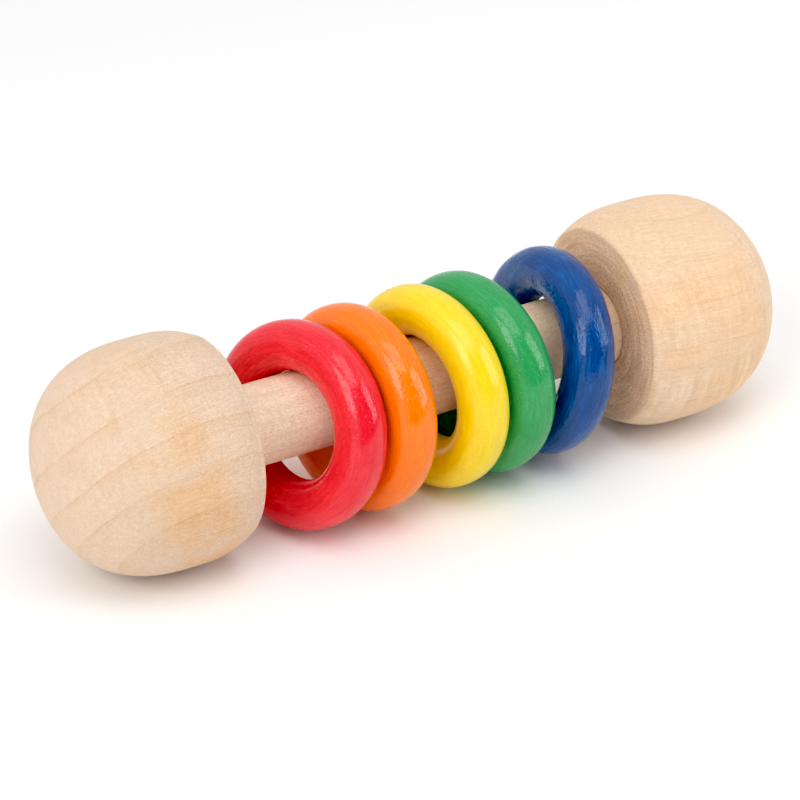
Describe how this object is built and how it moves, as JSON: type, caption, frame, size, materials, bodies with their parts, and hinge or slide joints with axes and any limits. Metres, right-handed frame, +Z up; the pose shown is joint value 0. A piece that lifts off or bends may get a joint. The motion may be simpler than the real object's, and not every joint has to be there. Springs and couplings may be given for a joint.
{
  "type": "baby rattle",
  "caption": "Wooden dowel rattle with rounded drum-shaped end knobs and loose lacquered rings that slide along the bar.",
  "frame": {"origin": "midway between the knobs, on the surface that the rattle lies on", "axes": "+X along the dowel towards the right knob, next to the blue ring; +Z up from the surface"},
  "size_m": [0.159, 0.045, 0.045],
  "materials": {
    "knob_wood": "bare sanded pale hardwood, matt",
    "dowel_wood": "bare sanded hardwood dowel, satin",
    "red_lacquer": "wood with glossy red lacquer",
    "orange_lacquer": "wood with glossy orange lacquer",
    "yellow_lacquer": "wood with glossy yellow lacquer",
    "green_lacquer": "wood with glossy green lacquer",
    "blue_lacquer": "wood with glossy blue lacquer"
  },
  "bodies": {
    "handle": {"dowel": "dowel_wood", "left_knob": "knob_wood", "right_knob": "knob_wood"},
    "red_ring": {"red_ring": "red_lacquer"},
    "orange_ring": {"orange_ring": "orange_lacquer"},
    "yellow_ring": {"yellow_ring": "yellow_lacquer"},
    "green_ring": {"green_ring": "green_lacquer"},
    "blue_ring": {"blue_ring": "blue_lacquer"}
  },
  "joints": [
    {"name": "red_ring_slide", "type": "slide", "parent": "handle", "child": "red_ring", "axis": [1, 0, 0], "range_m": [-0.007, 0.0003]},
    {"name": "orange_ring_slide", "type": "slide", "parent": "handle", "child": "orange_ring", "axis": [1, 0, 0], "range_m": [-0.0003, 0.0051]},
    {"name": "yellow_ring_slide", "type": "slide", "parent": "handle", "child": "yellow_ring", "axis": [1, 0, 0], "range_m": [-0.0051, 0.0003]},
    {"name": "green_ring_slide", "type": "slide", "parent": "handle", "child": "green_ring", "axis": [1, 0, 0], "range_m": [-0.0003, 0.0018]},
    {"name": "blue_ring_slide", "type": "slide", "parent": "handle", "child": "blue_ring", "axis": [1, 0, 0], "range_m": [-0.0018, 0.0053]}
  ]
}
